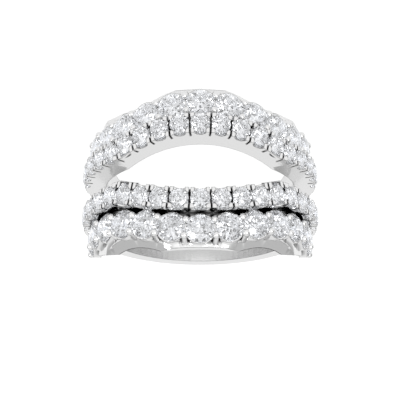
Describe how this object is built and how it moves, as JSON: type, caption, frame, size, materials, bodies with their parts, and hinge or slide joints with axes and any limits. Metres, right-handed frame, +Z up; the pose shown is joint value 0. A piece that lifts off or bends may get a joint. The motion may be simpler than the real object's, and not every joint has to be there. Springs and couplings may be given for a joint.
{
  "type": "ring guard enhancer",
  "caption": "White metal ring guard: two stone-set bands round one finger hole bow apart at the head to hold an engagement ring between them.",
  "frame": {"origin": "middle of the underside of the ring as it lies on its side", "axes": "-Y towards the head of the ring, X across the head, +Z up from the table; the finger axis leans about 12.7 degrees from +Z towards +Y"},
  "size_m": [0.0218, 0.0227, 0.0146],
  "materials": {
    "mount": "high-polish white gold",
    "large_stones": "brilliant-cut clear stone",
    "small_stones": "brilliant-cut clear stone"
  },
  "bodies": {
    "root": {"mount": "mount", "small_stones_top": "small_stones", "small_stones_bottom": "small_stones", "large_stone_top_01": "large_stones", "large_stone_top_02": "large_stones", "large_stone_top_03": "large_stones", "large_stone_top_04": "large_stones", "large_stone_top_05": "large_stones", "large_stone_top_06": "large_stones", "large_stone_top_07": "large_stones", "large_stone_top_08": "large_stones", "large_stone_top_09": "large_stones", "large_stone_top_10": "large_stones", "large_stone_top_11": "large_stones", "large_stone_top_12": "large_stones", "large_stone_top_13": "large_stones", "large_stone_bottom_01": "large_stones", "large_stone_bottom_02": "large_stones", "large_stone_bottom_03": "large_stones", "large_stone_bottom_04": "large_stones", "large_stone_bottom_05": "large_stones", "large_stone_bottom_06": "large_stones", "large_stone_bottom_07": "large_stones", "large_stone_bottom_08": "large_stones", "large_stone_bottom_09": "large_stones", "large_stone_bottom_10": "large_stones", "large_stone_bottom_11": "large_stones", "large_stone_bottom_12": "large_stones", "large_stone_bottom_13": "large_stones"}
  },
  "joints": []
}
